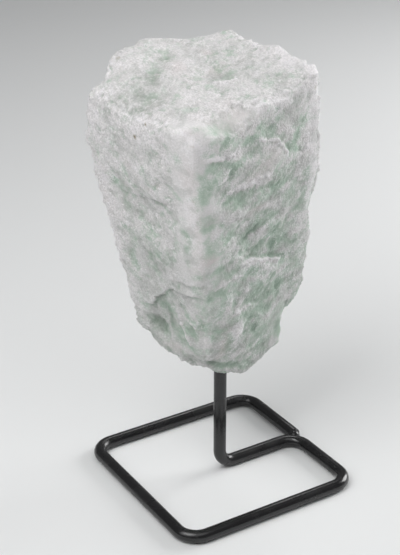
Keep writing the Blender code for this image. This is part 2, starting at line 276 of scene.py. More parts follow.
class Skin:
    """The points of the stone's surface, with what each of them is given.

    Attributes:
        places: the points in the stone's frame, in mm.
        pairs: the edges, as pairs of point numbers.
        shares: for each side of the stone, how far each point belongs to it.
        degree: how many neighbours each point has.
        corner: how far each point lies where sides meet, from 0 on a side and on the worn front edge.
        wandering: the places where patterns are read, bent over 6.5 mm and ragged over 1.3 mm.
        settled: the places where the listed marks are read, bent less.
    """

    def __init__(self, places: np.ndarray, normals: np.ndarray, pairs: np.ndarray) -> None:
        """Work out to which side each point belongs, and where its patterns are read.

        Args:
            places: the points in the stone's frame, in mm.
            normals: their smooth normals.
            pairs: the edges, as pairs of point numbers.
        """
        self.places = places
        self.pairs = pairs
        facing = {side: np.clip(normals @ side.outward, 0.0, 1.0) ** 4 for side in Side}
        total = sum(facing.values())
        self.shares = {side: share / total for side, share in facing.items()}
        self.degree = np.bincount(pairs.ravel(), minlength=len(places))
        worn = self.shares[Side.FRONT_RIGHT] * self.shares[Side.FRONT_LEFT]
        self.corner = 1.0 - 2.0 * worn - sum(share**2 for share in self.shares.values())
        drift = np.stack([sample(places / 6.5 + seed) for seed in (3.1, 17.7, 41.3)], axis=1)
        ragged = np.stack([sample(places / 1.3 + seed) for seed in (61.9, 73.3, 89.1)], axis=1)
        self.wandering = places + 0.8 * drift + 0.35 * ragged
        self.settled = places + 0.4 * drift + 0.45 * ragged

    def mean(self, trait: str) -> np.ndarray:
        """A number of the sides' nature at each point, mixed where sides meet."""
        return sum(share * getattr(side.value, trait) for side, share in self.shares.items())

    def streaks(self, width: float, stretch: float, seed: float, octaves: int = 1) -> np.ndarray:
        """Noise that is drawn out along each side's streaks.

        Args:
            width: size of the pattern across the streaks, in mm.
            stretch: how much longer it is along them.
            seed: shift that makes this noise differ from others.
            octaves: how many layers of ever finer noise it has.

        Returns:
            One value a point, about -1 to 1.
        """
        total = np.zeros(len(self.places))
        for number, (side, share) in enumerate(self.shares.items()):
            near = share > 0.01
            basis = side.streak_frame / width
            basis[0] /= 1.0 + (stretch - 1.0) * side.value.drawn
            shifted = self.wandering[near] @ basis.T + seed + 9.7 * number
            total[near] += share[near] * sample(shifted, octaves)
        return total

    def spread(self, values: np.ndarray, rounds: int) -> np.ndarray:
        """Average values over neighbouring points, again and again.

        Args:
            values: one value a point.
            rounds: how often they are averaged.

        Returns:
            The softened values.
        """
        first, second = self.pairs.T
        count = len(values)
        for _ in range(rounds):
            near = np.bincount(first, values[second], count) + np.bincount(second, values[first], count)
            values = 0.25 * values + 0.75 * near / self.degree
        return values

    @cached_property
    def front_edge(self) -> np.ndarray:
        """How near each point is to the worn edge between the two front faces."""
        return self.beside_seam(Side.FRONT_RIGHT, Side.FRONT_LEFT)

    def beside_seam(self, first: Side, second: Side) -> np.ndarray:
        """How near each point is to the edge between two sides.

        Args:
            first: the one side.
            second: the other side.

        Returns:
            One value a point, from 0 at about 8 mm away to 1.
        """
        seam = self.shares[first] * self.shares[second]
        wide = self.spread(seam, 350)
        return soft_step(wide * np.sum(seam) / np.sum(wide * seam), 0.1, 0.5)

    def sugar(self, size: float, seed: float) -> np.ndarray:
        """Facets of a sugary grain, each a small plane of its own height and tilt.

        Args:
            size: width of a facet, in mm.
            seed: shift that makes this grain differ from others.

        Returns:
            One height a point, about -1 to 1.
        """
        heights = np.empty(len(self.places))
        for number, place in enumerate((self.places / size + seed).tolist()):
            centre = noise.voronoi(place)[1][0]
            tilt = noise.cell_vector(centre * 31.7)
            offset = Vector(place) - centre
            heights[number] = noise.cell(centre * 53.9) * 0.6 + offset.dot(tilt) * 0.9
        return heights

    def inside(self, side: Side, patch: Patch) -> np.ndarray:
        """How far each point lies in a patch.

        Args:
            side: the side that the patch is on.
            patch: the patch.

        Returns:
            One value a point, from 0 outside it to 1 in its middle.
        """
        turn = math.radians(patch.turn)
        offset = self.settled @ side.plane.T - np.array(patch.centre)
        along = offset[:, 0] * math.cos(turn) + offset[:, 1] * math.sin(turn)
        over = offset[:, 1] * math.cos(turn) - offset[:, 0] * math.sin(turn)
        reach = (along / patch.spread[0]) ** 2 + (over / patch.spread[1]) ** 2
        return np.exp(-reach) * soft_step(self.shares[side], 0.02, 0.35)

    def beside(self, side: Side, ledge: Ledge) -> tuple[np.ndarray, np.ndarray]:
        """Where each point lies from a ledge's line.

        Args:
            side: the side that the ledge crosses.
            ledge: the ledge.

        Returns:
            The distance in mm, positive on the left hand of the line, and how much of the ledge there
            is at the nearest place of the line, which tapers to nothing at its ends.
        """
        flat = self.settled @ side.plane.T
        line = np.array(ledge.line, float)
        lengths = np.linalg.norm(np.diff(line, axis=0), axis=1)
        best = np.full(len(flat), np.inf)
        distance = np.zeros(len(flat))
        travel = np.zeros(len(flat))
        gone = 0.0
        for start, end, length in zip(line, line[1:], lengths):
            run = (end - start) / length
            offset = flat - start
            share = np.clip(offset @ run, 0.0, length)
            apart = np.linalg.norm(offset - share[:, None] * run, axis=1)
            hand = np.sign(run[0] * offset[:, 1] - run[1] * offset[:, 0])
            nearer = apart < best
            best[nearer] = apart[nearer]
            distance[nearer] = (apart * hand)[nearer]
            travel[nearer] = gone + share[nearer]
            gone += length
        travel /= gone
        body = soft_step(np.minimum(travel, 1.0 - travel), 0.0, 0.16)
        return distance, body * soft_step(self.shares[side], 0.1, 0.6)


# The marks on each side of the stone; those of the back, the end and the underside are guessed
FRONT_RIGHT_LEDGES = (
    Ledge(((-1.5, 60.8), (3, 60), (8.5, 58.7), (11, 58), (15.5, 56.8)), -1.1, 2, 0.75),
    Ledge(((-14, 90.6), (-9.5, 90), (-4.5, 89.3)), -0.3, 1.2, 0.5),
    Ledge(((2.5, 91.3), (8.5, 90), (11, 87.5), (13.5, 84)), -0.45, 1.4, 0.4),
    Ledge(((-6.5, 79.8), (-1, 80), (3.5, 81), (9, 80.8)), 0.5, 1.3, 0.5),
    Ledge(((1.5, 67.3), (4.5, 67.4), (7.5, 68.3)), -0.5, 1, 0.35),
    Ledge(((-12, 82.8), (-6.4, 84.2), (-2, 84)), 0.3, 1.2, 0.15),
    Ledge(((-9, 73.4), (-4, 73.6), (0, 73)), 0.3, 1.2, 0.15),
    Ledge(((2, 49.8), (8, 51), (15, 53)), 0.3, 1.2, 0.15),
    Ledge(((-9, 55.5), (-4, 57), (1, 57)), 0.35, 1.2, 0.2),
    Ledge(((-2.5, 47.6), (1.6, 48.6), (5.6, 48)), -0.3, 1.2, 0.2),
)

FRONT_RIGHT_PATCHES = (
    # small hollows that show green, some with painted shade, from the top down
    Patch((9.5, 94.5), (3.4, 2.4), 50, -0.08, 0.5),
    Patch((3.5, 94), (3, 1.2), 0, -0.12, 0.5),
    Patch((-9.5, 93.5), (2.6, 1), -10, -0.08, 0.2),
    Patch((-0.5, 91.6), (2.1, 0.9), 15, -0.2, 0.9),
    Patch((15.5, 88), (1.8, 1.1), 85, -0.34, 1.1),
    Patch((-5, 87), (3, 0.9), 10, -0.12, 0.4, painted_shade_or_light=-0.2),
    Patch((-10, 86), (1.1, 1), 65, -0.12, 0.5, painted_shade_or_light=-0.1),
    Patch((-6, 85), (1.1, 0.7), 30, -0.25, 0.6, painted_shade_or_light=0.15),
    Patch((17, 85), (2.4, 0.8), -10, -0.24, 0.8),
    Patch((-13, 83.5), (2.2, 2.6), 0, 0, -0.5, 0.1, painted_shade_or_light=-0.25),
    Patch((-1.5, 78), (2.8, 1.4), 20, -0.15, 0.9, painted_shade_or_light=0.12),
    Patch((5.5, 78.2), (4.2, 0.9), -5, -0.31, 0.9),
    Patch((13, 78), (2, 1), 20, -0.27, 0.9),
    Patch((-7, 78), (2.2, 0.9), 10, -0.24, 0.7),
    Patch((21.5, 78), (2.2, 1.2), 70, 0, 0.5, calm=0.3),
    Patch((-13.5, 77.5), (2, 1.4), 0, 0, 0.1, calm=0.3),
    Patch((-3, 76), (1.7, 0.7), 0, -0.27, 0.8),
    Patch((-5.5, 71.5), (2.5, 0.8), 5, -0.24, 0.7),
    Patch((1, 71.5), (1.7, 0.7), -5, -0.27, 0.8),
    Patch((11, 70), (1.4, 0.9), 25, -0.27, 0.8),
    Patch((19, 70), (2.2, 1.7), 65, -0.2, 0.9, calm=0.4),
    Patch((4.5, 68.5), (1, 0.6), 30, -0.4, 0.7, painted_shade_or_light=0.2),
    Patch((-5, 68.5), (2.3, 1), 10, -0.24, 0.8),
    Patch((1.5, 66.8), (1.7, 0.9), 20, -0.27, 0.9),
    Patch((11.5, 65), (1.3, 1.1), 25, -0.27, 0.8),
    Patch((5.5, 62.4), (3, 1.1), 0, -0.34, 1.1, painted_shade_or_light=0.21),
    Patch((11.5, 61.4), (1.4, 1.1), 85, -0.27, 0.9, painted_shade_or_light=0.21),
    Patch((16.5, 61.5), (1.9, 1.3), 85, -0.31, 1.1, painted_shade_or_light=0.21),
    Patch((-6.5, 61.5), (2.1, 0.8), 5, -0.24, 0.8),
    Patch((-8, 58), (1.4, 1.1), 65, -0.27, 0.9),
    Patch((19, 54), (2.6, 1.6), 75, -0.16, 0.7, 0, 0.25, calm=0.3),
    Patch((-8, 54), (1.9, 1.2), 0, 0, 0.5),
    Patch((11, 53.5), (2, 0.9), 10, -0.24, 0.7),
    Patch((6.5, 51.3), (2.1, 1.4), 10, -0.27, 0.9, calm=0.3),
    Patch((13, 50), (1.8, 1.4), 5, -0.2, 0.8),
    Patch((-1.5, 50), (1.3, 1.1), 50, -0.34, 1, painted_shade_or_light=0.21),
    Patch((10.5, 48.3), (2, 1), 15, -0.2, 0.7),
    Patch((10.5, 45), (1.5, 0.9), 5, -0.37, 1.3, painted_shade_or_light=0.21),
    Patch((4, 44.5), (1.2, 0.8), 5, -0.34, 0.8),
    Patch((-9, 43.5), (2, 5), 0, 0, 0.1, 0.1, calm=0.1, painted_shade_or_light=-0.35),
    Patch((-6, 33.5), (1.4, 2.4), 0, -0.5, 0.2, painted_shade_or_light=0.4),
    Patch((5.5, 40.5), (1.4, 0.7), 25, -0.27, 0.7),
    Patch((13, 39.5), (3.2, 3.2), 15, 0, 0.4, calm=0.4, painted_shade_or_light=0.16),
    Patch((7.5, 38), (2.6, 2.2), 50, -0.16, 0.7, calm=0.4),
    Patch((-8.5, 38.5), (1.1, 1.3), 0, -0.16, 0.6, calm=0.2, painted_shade_or_light=-0.3),
    Patch((4.5, 36), (1, 0.7), 5, -0.31, 0.9),
    Patch((-4.5, 34), (2.1, 0.9), -15, -0.24, 0.8, painted_shade_or_light=0.2),
    Patch((3, 33.5), (1.2, 1), 50, -0.27, 1, painted_shade_or_light=0.21),
    # smooth and warm places, white crests and lumps, some given painted light
    Patch((-7, 96.8), (7.4, 2.4), 8, 0, 0.5, 0, 0.15, calm=0.6, painted_shade_or_light=0.08),
    Patch((-4.5, 92.3), (7, 2.2), 0, 0, -0.2, 0.1, painted_shade_or_light=-0.25),
    Patch((13.5, 82.5), (2, 3), 60, 0, -0.2, 0.2, painted_shade_or_light=-0.2),
    Patch((-16, 94), (3, 3.6), 0, 0, -0.9, 0.5, 0.2, painted_shade_or_light=-0.5),
    Patch((2.5, 97), (3.4, 1.2), 5, 0, 0.1, 0, 0.15, calm=0.6),
    Patch((14, 95.5), (4.4, 5), 0, 0, -0.5, 0, 0.2, calm=0.4, painted_shade_or_light=0.14),
    Patch((21, 96.5), (1.9, 8), 0, 0, -0.5, 0.9, 0.1, calm=0.4, painted_shade_or_light=-0.7),
    Patch((7, 84.8), (5, 3.4), 15, 0.16, -0.5, 0, 0.3, calm=0.6),
    Patch((20, 84.5), (1.8, 1.1), -15, 0.24, -0.3, 0.5),
    Patch((0.5, 80.6), (5.2, 1.1), 5, 0.24, -0.9, 0.9, painted_shade_or_light=-0.3),
    Patch((-9.5, 90.2), (5, 0.7), -5, 0.1, -0.6, 0.7),
    Patch((3.5, 73.4), (4, 1.4), -5, 0.12, -0.5, 0, 0.5, calm=0.4),
    Patch((-10, 64.5), (2.4, 1.4), -20, 0.08, -0.5, 0, 0.6, calm=0.4),
    Patch((5.5, 58), (3.8, 1), -10, 0.16, -0.4, 0.3),
    Patch((2.5, 52.6), (1, 0.7), -20, 0.32, -0.3, 0.5),
    Patch((-0.8, 42.5), (1.8, 3.2), 0, 0.6, -0.8, 0.9, painted_shade_or_light=-0.4),
    Patch((-4.2, 38.5), (1.6, 3.2), 0, -0.1, -0.4, 0.1, 0.7, calm=0.2, painted_shade_or_light=-0.1),
    Patch((0, 35.2), (1.2, 1.2), 0, 0.24, -0.3, 0.4, 0.2),
    # a painted highlight along the rim with the end
    Patch((23.2, 80), (1.8, 20), 0, 0, -0.4, 0.7, calm=0.5),
    Patch((15, 38), (2, 9), -8, 0, 0.2, calm=0.7, painted_shade_or_light=0.16),
    Patch((9, 32), (8, 1.8), 45, 0, 0.1, painted_shade_or_light=0.15),
    Patch((3.5, 41), (3, 3), 0, 0, 0.3, painted_shade_or_light=0.15),
    Patch((-15.5, 77), (3.2, 17), 0, 0, 0.4, calm=0.4, painted_shade_or_light=-0.4),
    # broad greener grounds, and broad painted shade, or painted light where it is below 0
    Patch((-9.5, 84), (4, 7), 50, 0, 0.4),
    Patch((-1.5, 79), (5, 2.2), 0, -0.1, 0.1, painted_shade_or_light=0.12),
    Patch((10.5, 64.5), (7.6, 4.6), 0, -0.1, 0.45, painted_shade_or_light=-0.04),
    Patch((13, 72.5), (7, 4), 10, 0, 0.2, painted_shade_or_light=0.22),
    Patch((-2, 70), (7, 6), 0, 0, 0.3, painted_shade_or_light=0.12),
    Patch((7.5, 56), (3.8, 1.6), 0, 0, -0.2, 0.2, painted_shade_or_light=-0.25),
    Patch((6.5, 47), (8.6, 5.6), 65, 0, 0.45, painted_shade_or_light=0.06),
    Patch((-8.5, 91.5), (2.2, 2.5), 50, 0, 0.3),
    Patch((7.5, 76.5), (4.5, 1.3), -5, 0, 0.8),
    Patch((14.5, 85), (2.1, 2.4), 65, 0, 0.6),
    Patch((21.5, 75.5), (3.3, 2), 85, 0, 0.5),
    Patch((-15, 77), (2.6, 2.1), 80, 0, 0.3),
    Patch((-4, 77.5), (3.6, 1.3), -5, 0, 0.5),
    Patch((-8, 57.5), (2.3, 2.8), 50, 0, 0.4),
    Patch((13.5, 48), (2.4, 2.1), 85, 0, 0.5),
    Patch((-1.5, 35.5), (6, 1.8), -20, 0, -0.6, 0.1),
    Patch((9.5, 98.2), (8, 2.2), 8, 0, -0.9, 0.6, painted_shade_or_light=-0.2),
    # specks of iron stain
    Patch((21.5, 99), (0.8, 0.8), stain=0.35),
)

FRONT_LEFT_LEDGES = (
    Ledge(((1, 78.2), (2.5, 78), (8.5, 77.5), (14.5, 77)), 0.5, 1.3),
    Ledge(
        ((-4.5, 54.4), (0, 54), (2.5, 54.5), (5, 54), (7, 52.5), (10.5, 50), (12, 47.5), (15.5, 46.3)),
        drop=1.1,
        fade=1.7,
    ),
    Ledge(((-6.5, 58.2), (-0.5, 57), (2, 57.5), (6.5, 56.2)), 0.45, 1.1),
    Ledge(((7.8, 49), (7.5, 44.5), (6.8, 41.5)), -0.25, 1, 0.3),
    Ledge(((4.4, 49.5), (3.5, 44.5), (0, 38.8)), -0.25, 1.1, 0.3),
    Ledge(((2.6, 47.6), (-1.6, 44.6)), -0.2, 1, 0.2),
    Ledge(((13.6, 65.4), (9.6, 64.2), (6.6, 61.4)), 0.4, 1.2),
    Ledge(((20, 61.6), (16.4, 57.4)), 0.3, 1.3),
)

FRONT_LEFT_PATCHES = (
    # hollows and faint greens, many with painted shade, from the top down
    Patch((3, 94), (2.6, 1), -15, 0, 0.5),
    Patch((-2.5, 91), (1.3, 1.6), 0, 0, 0.6),
    Patch((18, 86.5), (2.8, 1.1), -15, 0, 0.35),
    Patch((6, 85.5), (2.6, 1.1), -15, -0.06, 0.35),
    Patch((13.5, 85), (1.8, 1.3), 0, 0, 0.2, 0, 0.4),
    Patch((3.5, 82), (1.2, 0.8), 0, -0.12, 0.2, 0, 0.5),
    Patch((-2.5, 80.5), (1.4, 1.7), 0, -0.06, 0.7),
    Patch((10.5, 78.6), (1.6, 1.2), 10, -0.18, 0.4, painted_shade_or_light=0.4),
    Patch((5.5, 77), (2, 0.8), -5, -0.16, 1, painted_shade_or_light=0.3),
    Patch((16.5, 76), (1.6, 1.2), 30, -0.12, 0.8, painted_shade_or_light=0.3),
    Patch((15.3, 73.8), (1.2, 1), 70, -0.1, 0.7, painted_shade_or_light=0.2),
    Patch((11.5, 72.5), (1.7, 1.1), 15, -0.12, 0.9, painted_shade_or_light=0.3),
    Patch((1, 76), (0.7, 0.6), 0, -0.24, 0.5),
    Patch((1, 69.5), (1.9, 1.4), 30, -0.15, 0.8),
    Patch((20, 66), (1, 1), 0, -0.12, 0.5),
    Patch((1.5, 63.5), (1.9, 1.3), 0, -0.06, 0.7),
    Patch((10.5, 63), (2.9, 1.2), 35, -0.2, 0.9, painted_shade_or_light=0.35),
    Patch((8.5, 59), (1.6, 0.9), 35, -0.12, 0.5, painted_shade_or_light=0.2),
    Patch((12.5, 55), (1.3, 0.8), 0, -0.12, 0.5),
    Patch((2, 50), (1.3, 1), 0, -0.27, 0.8, painted_shade_or_light=0.3),
    Patch((9, 48), (3.2, 1.7), -20, -0.3, 0.5, painted_shade_or_light=0.35),
    Patch((0.5, 48), (1.3, 1.1), 30, -0.18, 0.9),
    Patch((6.3, 45), (0.9, 2.8), 0, -0.24, 1, painted_shade_or_light=0.3),
    Patch((1, 44), (2.2, 1.5), 0, -0.06, 0.9),
    Patch((11.5, 41.8), (3, 1.6), 24, -1, 0.9, painted_shade_or_light=0.8),
    Patch((-1.5, 41.5), (1.8, 2), 0, -0.06, 0.8),
    Patch((13, 39.5), (1.4, 1.6), 0, -0.12, 0.7, painted_shade_or_light=0.2),
    Patch((11, 37.5), (1.3, 1.6), 0, -0.12, 0.7, painted_shade_or_light=0.2),
    # whiter and warmer places
    Patch((-5.2, 78), (1.8, 17), 0, 0, -0.3, 0.35, 0.35, calm=0.5),
    Patch((18.5, 54), (2.6, 4.6), 0, 0.06, -0.3, 0.35, 0.1, calm=0.3),
    Patch((6, 37.2), (4.4, 1.4), -5, 0, -0.2, 0, 0.4, calm=0.5),
    Patch((6.5, 80), (2.2, 1), 0, 0.06, -0.2, 0.1, 0.4),
    Patch((8, 94), (14, 3.2), 0, 0, -0.3, 0.4, 0.15),
    # a painted highlight and painted light along the rim with the back
    Patch((23, 75), (26, 3.2), 84, 0, -0.5, 0.5, 0.15, painted_shade_or_light=-0.2),
    Patch((-3, 41), (2.3, 1.6), -20, 0, -0.6),
    Patch((3, 42.5), (3.3, 2.6), 55, 0, 0.7),
    # broad painted shade
    Patch((18.5, 76), (3.8, 2.2), -15, 0, 0.3, painted_shade_or_light=0.16),
    Patch((8, 75.5), (5.5, 2.2), -5, 0, 0.2, painted_shade_or_light=0.14),
    Patch((3.5, 44.5), (6.5, 6.5), 0, 0, 0.25, painted_shade_or_light=0.12),
    Patch((6, 60), (9, 9), 0, 0, 0.15, painted_shade_or_light=0.13),
    Patch((1, 55.8), (5, 1.2), -8, -0.15, 0.2, painted_shade_or_light=0.18),
    Patch((14, 36), (6, 3), -10, painted_shade_or_light=0.28),
    Patch((2, 35), (7, 1.8), painted_shade_or_light=0.2),
    Patch((22.5, 47), (1.6, 12), 15, painted_shade_or_light=0.25),
    Patch((12, 61.5), (3.6, 4.4), -20, 0, 0.2, painted_shade_or_light=0.1),
    # specks of iron stain
    Patch((9.6, 92.5), (0.46, 0.46), stain=1),
    Patch((6, 96.1), (0.33, 0.33), stain=0.9),
    Patch((-7.4, 94.1), (0.8, 0.6), stain=0.35),
    Patch((-5.4, 80.3), (0.5, 0.6), stain=0.3),
)

TOP_LEDGES = (
    Ledge(((0.5, 12.5), (-1, 8), (0, 5.5), (2, 3), (5.5, 2), (9, 3.4)), -0.6, 2.6, 0.3),
    Ledge(((-7.5, 13.6), (-0.5, 19), (3, 20.2), (6.5, 19)), -0.6, 2.4, soft=1),
    Ledge(((10, 3.4), (11.5, 2.8), (14, 1.6)), -0.4, 0.9),
    Ledge(((-17, 10), (-12.6, 11), (-8, 10.4)), 0.25, 1.6, soft=0.8),
    Ledge(((8.3, -3), (7.4, -5.6), (7, -8.4)), 0.25, 0.9),
    Ledge(((10.6, 8.6), (13, 7), (15.6, 7.4)), -0.4, 1.2),
)

TOP_PATCHES = (
    # the sugary basin and trough on the left, the bowl, and the whiter ground in front, with painted shade in
    # the hollows
    Patch((-7, -7.4), (7, 1.3), 0, 0, 0.7, calm=0.6, painted_shade_or_light=0.12),
    Patch((-17.5, 15.5), (4, 3.6), 0, -0.1, 0.4, painted_shade_or_light=0.25),
    Patch((-9.5, 22), (2.2, 1.9), 0, -0.2, 0.3),
    Patch((-8, 13.5), (9, 4.5), 35, -0.3, 0.25, painted_shade_or_light=0.2),
    Patch((-4.5, 17.2), (6.5, 2.2), 33, -0.35, 0.2, painted_shade_or_light=0.2),
    Patch((-13, 12.5), (1.9, 1.8), -45, -0.25, 0.5, painted_shade_or_light=0.1),
    Patch((-15, 9.5), (6, 4.2), -30, -0.35, 0.35, painted_shade_or_light=0.18),
    Patch((-11.5, 2), (2.4, 2.8), -45, -0.15, 0.6),
    Patch((3, 21), (2.6, 1.2), 10, -0.3, 0.2, painted_shade_or_light=0.15),
    Patch((1, 16), (3.2, 3.6), -45, 0.35, -0.5, 0.2, 0.4, calm=0.2, painted_shade_or_light=-0.15),
    Patch((6.5, 5.5), (4.8, 3.2), -35, -0.2, 0.6, painted_shade_or_light=0.24),
    Patch((8, 9.5), (2.6, 2.4), 0, -0.3, 0.1, 0, 0.3),
    Patch((7.5, 14), (2.4, 1.9), 75, -0.3, 0.4, painted_shade_or_light=0.1),
    Patch((11.5, 15.5), (1.5, 2.2), 0, 0.15, -0.3, 0, 0.5),
    Patch((16, 12), (2.8, 1.9), 10, -0.3, 0.35, painted_shade_or_light=0.12),
    Patch((12.5, 7.5), (2.2, 1.1), 0, -0.3, 0.15, painted_shade_or_light=0.12),
    Patch((9, -0.5), (2.6, 2.4), -45, -0.2, 0.1),
    Patch((13, -1.5), (6.4, 4.6), -75, -0.1, 0.45, painted_shade_or_light=0.08),
    Patch((20.5, -1), (2.6, 4.4), 0, 0, -0.8, 0.4, calm=0.3),
    Patch((-3.5, -5), (3.1, 3.3), -45, 0.1, -0.4, 0, 0.4),
    Patch((-5.5, -3), (10, 4.6), -45, 0.1, -0.4, 0.1),
    # painted highlights on the rim with the end, which also swell it
    Patch((23.5, 3.5), (2.6, 6), 0, 0.8, -0.3, 0.7),
    Patch((21.5, -6), (2.6, 4.2), 0, 0.7, -0.3, 0.9),
    Patch((-20.5, 19.5), (3.2, 2.4), 0, 0.3, -0.3, 0.3),
    # specks of iron stain
    Patch((-6.5, 27), (0.5, 0.5), stain=0.5),
)

BACK_LEDGES = (
    Ledge(((-6, 84), (2, 80), (14, 79)), 0.8, 2.4, 0.25, 0.4),
    Ledge(((-2, 66), (8, 62), (18, 63)), -0.7, 2.2, 0.3),
    Ledge(((0, 92), (10, 94), (20, 90)), 0.6, 1.8, 0.1, 0.3),
)

BACK_PATCHES = (
    Patch((4, 90), (8, 3), -15, -0.3, 0.7),
    Patch((14, 74), (7, 3), -25, -0.4, 0.8),
    Patch((0, 60), (6, 3), -15, -0.3, 0.6),
    Patch((8, 50), (5, 3), 10, 0.3, -0.2, 0.3, 0.4),
)

END_LEDGES = (
    Ledge(((-4, 90), (6, 94), (15, 95)), 0.7, 2, 0.2, 0.3),
    Ledge(((-4, 70), (5, 74), (15, 73)), -0.7, 2, 0.25),
    Ledge(((-3, 54), (5, 58), (13, 62)), 0.6, 1.6, 0.2, 0.4),
)

END_PATCHES = (
    Patch((-6, 80), (5, 22), 0, 0.45),
    Patch((2, 84), (6, 3), 30, -0.3, 0.7),
    Patch((8, 66), (6, 3), 35, -0.3, 0.8),
    Patch((2, 52), (5, 2.4), 30, -0.2, 0.5),
)

UNDERSIDE_PATCHES = (Patch((1.8, -4.3), (5, 4.5), 0, 1.3, painted_shade_or_light=0.2),)


@dataclass
class Stone:
    """The amazonite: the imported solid's shape, remeshed and given its natural surface.

    Sizes are in mm, and turn is how far its frame is turned about the stem. The bevel starts and runs
    out between places along the front right face. It is cut from the edge where that face would meet
    the top, which is given by its b, its height beside the stem and its rise along a.
    """

    turn: float = math.radians(14.1)
    mesh_size: float = 0.405
    smoothing: int = 16
    bevel_depth: float = 2.7
    bevel_least: float = 0.05
    bevel_in: tuple[float, float] = (-17.0, -9.0)
    bevel_out: tuple[float, float] = (-1.0, 7.0)
    bevel_edge: tuple[float, float, float] = (-9.2, 98.976, 0.16)
    swell: float = 0.22
    hills: float = 0.40
    lumps: float = 0.24
    shards: float = 0.24
    terrace: float = 0.13
    chips: float = 0.15
    crumbs: float = 0.11
    sugar: float = 0.13
    worn_heights: tuple[float, float] = (40.0, 65.0)
    box_margin: float = 0.35
    hole_radius: float = 1.9
    hole_top: float = 40.6
    hole_roof: float = 0.5
    hole_margin: float = 0.9
    worn_edges: tuple[tuple[Side, Side, int], ...] = (
        (Side.FRONT_RIGHT, Side.FRONT_LEFT, 300),
        (Side.FRONT_LEFT, Side.TOP, 80),
        (Side.FRONT_RIGHT, Side.TOP, 12),
    )
    marks: tuple[Marks, ...] = (
        Marks(Side.FRONT_RIGHT, FRONT_RIGHT_LEDGES, FRONT_RIGHT_PATCHES),
        Marks(Side.FRONT_LEFT, FRONT_LEFT_LEDGES, FRONT_LEFT_PATCHES),
        Marks(Side.TOP, TOP_LEDGES, TOP_PATCHES),
        Marks(Side.BACK, BACK_LEDGES, BACK_PATCHES),
        Marks(Side.END, END_LEDGES, END_PATCHES),
        Marks(Side.UNDERSIDE, (), UNDERSIDE_PATCHES),
    )
    name: str = "stone_surface"
    body: str = field(default="root", repr=False)

    def build(self, solid: bpy.types.Object) -> bpy.types.Object:
        """Make the stone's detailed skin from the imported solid.

        Args:
            solid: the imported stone.

        Returns:
            The finished piece, with its attributes filled in.
        """
        low, high = (np.array(corner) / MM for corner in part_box("stone"))
        piece = self.fine_copy(solid)
        mesh = piece.data
        pairs = np.empty(len(mesh.edges) * 2, int)
        mesh.edges.foreach_get("vertices", pairs)
        skin = self.skin_of(mesh, pairs.reshape(-1, 2))

        # the wall and the roof of the drilled hole stay as they are
        reach = np.hypot(skin.places[:, 0], skin.places[:, 1])
        beneath = skin.places[:, 2] < self.hole_top + self.hole_margin
        in_hole = (reach < self.hole_radius + self.hole_margin) & beneath
        free = np.clip(1.0 - skin.spread(in_hole.astype(float), 3), 0.0, 1.0)

        world = self.read_vectors(mesh.vertices, "co") / MM
        world = self.worn(skin, self.bevelled(skin, world), free)
        mesh.vertices.foreach_set("co", (world * MM).ravel())
        mesh.update()

        skin = self.skin_of(mesh, skin.pairs)
        normals = self.read_vectors(mesh.vertices, "normal")
        calm = self.calm(skin)
        relief = self.relief(skin, calm) * free
        world += normals * relief[:, None]
        world = self.clear_of_stem(world)
        world = np.clip(world, low - self.box_margin, high + self.box_margin)
        mesh.vertices.foreach_set("co", (world * MM).ravel())
        mesh.update()
        self.colour(skin, relief, calm, mesh)
        return piece

    def skin_of(self, mesh: bpy.types.Mesh, pairs: np.ndarray) -> "Skin":
        """Read a mesh's points and normals into the stone's frame.

        Args:
            mesh: the stone's mesh.
            pairs: its edges, as pairs of point numbers.

        Returns:
            The stone's surface.
        """
        world = self.read_vectors(mesh.vertices, "co") / MM
        normals = self.read_vectors(mesh.vertices, "normal")
        return Skin(self.into_stone(world, moved=True), self.into_stone(normals), pairs)

    def bevelled(self, skin: Skin, world: np.ndarray) -> np.ndarray:
        """Cut the short bevel between the top and the front right face, near the front corner.

        Args:
            skin: the stone's surface.
            world: its points, in mm.

        Returns:
            The points, with those outside the bevel moved onto it.
        """
        along = skin.places[:, 0]
        depth = self.bevel_depth * soft_step(along, *self.bevel_in)
        depth *= 1.0 - soft_step(along, *self.bevel_out)
        face, height, rise = self.bevel_edge
        edge = np.stack([along, np.full_like(along, face), height + rise * along], axis=1)
        outward = np.array([0.0, -1.0, 1.0]) / math.sqrt(2.0)
        excess = (skin.places - edge) @ outward + depth
        cut = np.where(depth > self.bevel_least, np.maximum(excess, 0.0), 0.0)
        return world - cut[:, None] * (outward @ self.axes)

    def worn(self, skin: Skin, world: np.ndarray, free: np.ndarray) -> np.ndarray:
        """Round every edge a little, and the worn ones more.

        Args:
            skin: the stone's surface.
            world: its points, in mm.
            free: how far each point may move, from 0 in the drilled hole to 1.

        Returns:
            The points with their edges rounded.
        """
        passes = [(free, self.smoothing)]
        for first, second, rounds in self.worn_edges:
            passes.append((free * skin.beside_seam(first, second), rounds))
        for weight, rounds in passes:
            for axis in range(3):
                softened = skin.spread(world[:, axis], rounds)
                world[:, axis] += weight * (softened - world[:, axis])
        return world

    @staticmethod
    def read_vectors(rows: bpy.types.bpy_prop_collection, name: str) -> np.ndarray:
        """Read a vector property of every row of a collection.

        Args:
            rows: the collection.
            name: the property's name.

        Returns:
            One vector a row.
        """
        values = np.empty(len(rows) * 3)
        rows.foreach_get(name, values)
        return values.reshape(-1, 3)

    @property
    def axes(self) -> np.ndarray:
        """The directions of the stone's frame in the world, one a row."""
        cos, sin = math.cos(self.turn), math.sin(self.turn)
        return np.array([[cos, sin, 0.0], [-sin, cos, 0.0], [0.0, 0.0, 1.0]])

    def into_stone(self, vectors: np.ndarray, moved: bool = False) -> np.ndarray:
        """Turn world vectors into the stone's frame, about the stem's axis when they are places."""
        origin = np.array([*STEM_AXIS, 0.0]) if moved else np.zeros(3)
        return (vectors - origin) @ self.axes.T

